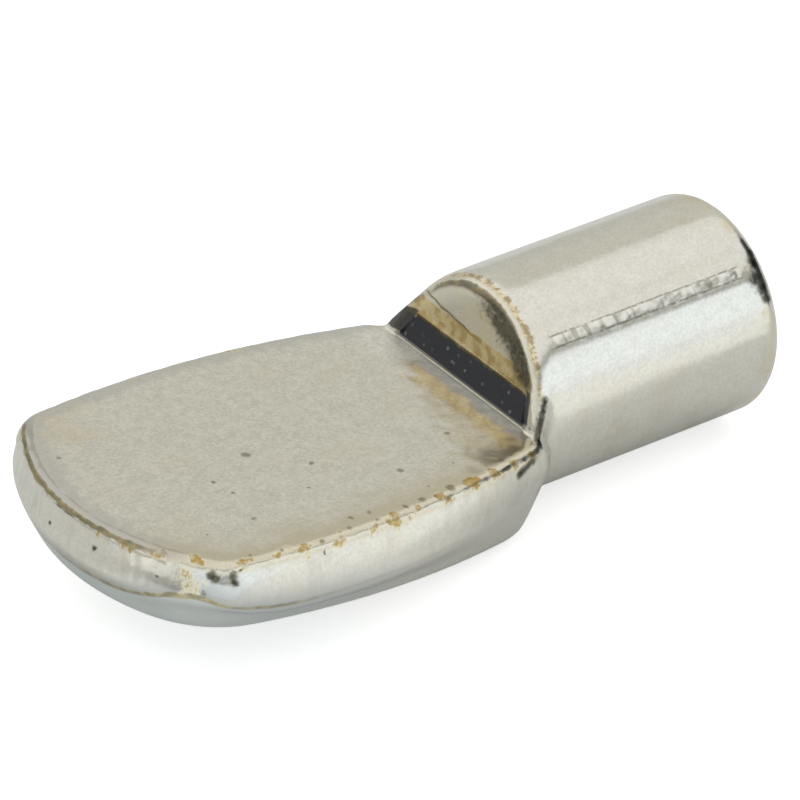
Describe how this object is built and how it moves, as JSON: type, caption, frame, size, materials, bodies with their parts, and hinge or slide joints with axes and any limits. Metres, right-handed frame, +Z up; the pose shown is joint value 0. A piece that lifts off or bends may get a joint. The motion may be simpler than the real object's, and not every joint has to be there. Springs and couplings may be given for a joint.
{
  "type": "shelf support pin",
  "caption": "Metal shelf support: a round pin that pushes into a drilled cabinet side, with a flat spoon-shaped seat that carries the shelf.",
  "frame": {"origin": "on the pin's axis, where the pin is first round all the way about, just behind the step", "axes": "+X along the pin's axis to its free end, with the seat's tip towards -X; +Z up, from the pin's axis towards the shelf; +Y across the seat"},
  "size_m": [0.0173, 0.0078, 0.0051],
  "materials": {
    "nickel_plated_steel": "worn satin nickel plate, with tarnish along the seat's upper edge and on the step face"
  },
  "bodies": {
    "root": {"support_pin": "nickel_plated_steel"}
  },
  "joints": []
}
